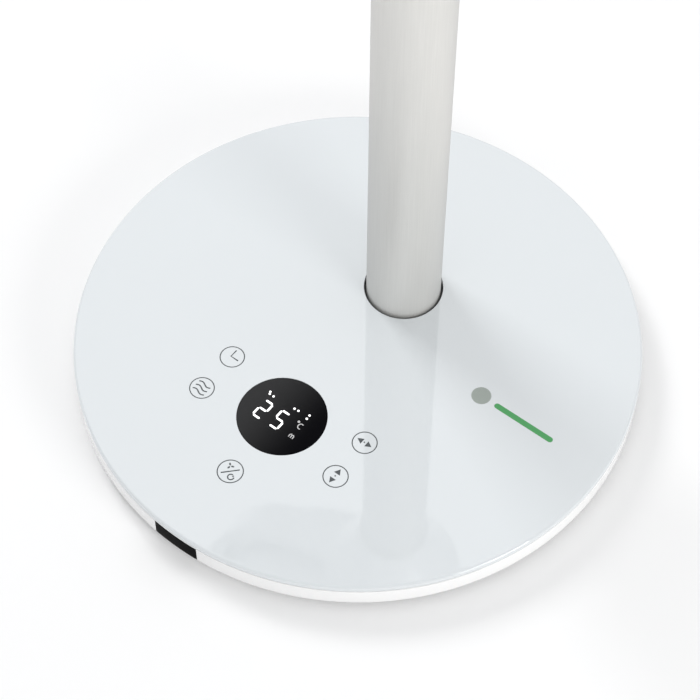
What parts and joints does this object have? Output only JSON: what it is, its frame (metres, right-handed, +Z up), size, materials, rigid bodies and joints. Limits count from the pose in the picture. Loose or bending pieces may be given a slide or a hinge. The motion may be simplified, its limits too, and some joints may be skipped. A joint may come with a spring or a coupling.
{
  "type": "pedestal fan heater",
  "caption": "Round weighted base with a glass touch panel and display, a tube column, a swivelling fork and a tilting round fan heater head.",
  "frame": {"origin": "centre of the base's footprint, on the floor", "axes": "+Z up the column, -Y is the front, where the display and the power key are, +X is to the right seen from the front"},
  "size_m": [0.3252, 0.3, 0.6422],
  "materials": {
    "white_shell": "smooth gloss white",
    "panel_glass": "pale back-painted glass, polished",
    "display_glass": "black tinted glass, polished",
    "column_metal": "brushed along its length, pale champagne",
    "champagne_trim": "satin pale champagne",
    "grille_plastic": "fine satin",
    "strip_plastic": "fine satin",
    "dark_plastic": "moulded, fine texture",
    "fan_plastic": "satin",
    "gear_plastic": "natural acetal",
    "plate_steel": "black painted sheet steel",
    "ballast_iron": "as cast",
    "bright_steel": "turned and zinc plated",
    "motor_metal": "pressed steel can",
    "bush_brass": "machined",
    "rubber": "matt moulded rubber",
    "circuit_board": "soldered board with its parts",
    "heater_ceramic": "unglazed",
    "fin_aluminium": "bright rolled strip",
    "cutout_black": "phenolic",
    "filter_mesh": "fine woven nylon mesh",
    "switch_red": "satin"
  },
  "bodies": {
    "base": {"base_tray": "white_shell", "bottom_plate": "plate_steel", "base_screws": "bright_steel", "rubber_feet": "rubber", "top_glass": "panel_glass", "glass_gasket": "rubber", "display_window": "display_glass", "display_board": "circuit_board", "led_module": "dark_plastic", "touch_springs": "bush_brass", "control_board": "circuit_board", "power_board": "circuit_board", "ballast_plate": "ballast_iron", "pole_socket": "plate_steel", "socket_screws": "bright_steel", "ir_window": "display_glass", "ir_receiver": "circuit_board", "tip_switch": "dark_plastic", "tip_spring": "bright_steel", "cord_gland": "dark_plastic", "pole_tube": "column_metal", "pole_collar": "champagne_trim", "pole_wiring": "rubber", "neck_shell": "white_shell", "neck_cover": "dark_plastic", "neck_screws": "bright_steel", "swing_motor": "motor_metal", "swing_bush": "bush_brass"},
    "swing_drive": {"swing_pinion": "gear_plastic"},
    "tilt_drive": {"tilt_pinion": "gear_plastic"},
    "plunger": {"tip_plunger": "switch_red"},
    "fan": {"fan_shaft": "bright_steel", "impeller": "fan_plastic", "impeller_nut": "fan_plastic"},
    "yoke": {"swing_gear": "gear_plastic", "spindle": "bright_steel", "yoke_fork": "white_shell", "yoke_strip": "strip_plastic", "yoke_wiring": "rubber", "yoke_caps": "champagne_trim", "pivot_pins": "bright_steel", "tilt_gear": "gear_plastic"},
    "head": {"tilt_motor": "motor_metal", "pivot_bushes": "bush_brass", "front_shell": "white_shell", "rear_shell": "white_shell", "bezel_ring": "champagne_trim", "front_grille": "grille_plastic", "heater_frame": "dark_plastic", "ceramic_bars": "heater_ceramic", "heater_fins": "fin_aluminium", "air_duct": "dark_plastic", "motor_mount": "dark_plastic", "fan_motor": "motor_metal", "thermal_cutouts": "cutout_black", "terminal_block": "heater_ceramic", "head_wiring": "rubber", "dust_filter": "filter_mesh", "head_screws": "bright_steel"}
  },
  "joints": [
    {"name": "swing", "type": "hinge", "parent": "base", "child": "yoke", "pos_m": [0, 0.04, 0.34], "axis": [0, 0, 1], "range_deg": [-45, 45]},
    {"name": "swing_motor_turn", "type": "hinge", "parent": "base", "child": "swing_drive", "pos_m": [0, 0.06, 0.315], "axis": [0, 0, 1], "range_deg": [-110, 110]},
    {"name": "tilt", "type": "hinge", "parent": "yoke", "child": "head", "pos_m": [0, 0.04, 0.5042], "axis": [1, 0, 0], "range_deg": [-30, 10]},
    {"name": "tilt_motor_turn", "type": "hinge", "parent": "head", "child": "tilt_drive", "pos_m": [0.115, 0.059, 0.5042], "axis": [1, 0, 0], "range_deg": [-70, 25]},
    {"name": "fan_spin", "type": "hinge", "parent": "head", "child": "fan", "pos_m": [0, 0.04, 0.5042], "axis": [0, -1, 0], "continuous": true},
    {"name": "tip_over", "type": "slide", "parent": "base", "child": "plunger", "axis": [0, 0, -1], "range_m": [0, 0.0035], "stiffness_N_per_m": 60, "springref_m": 0.006, "deforming": ["tip_spring"]}
  ],
  "couplings": [
    {"joint": "swing_motor_turn", "follows": "swing", "ratio": -2.3333},
    {"joint": "tilt_motor_turn", "follows": "tilt", "ratio": 2.1667}
  ]
}
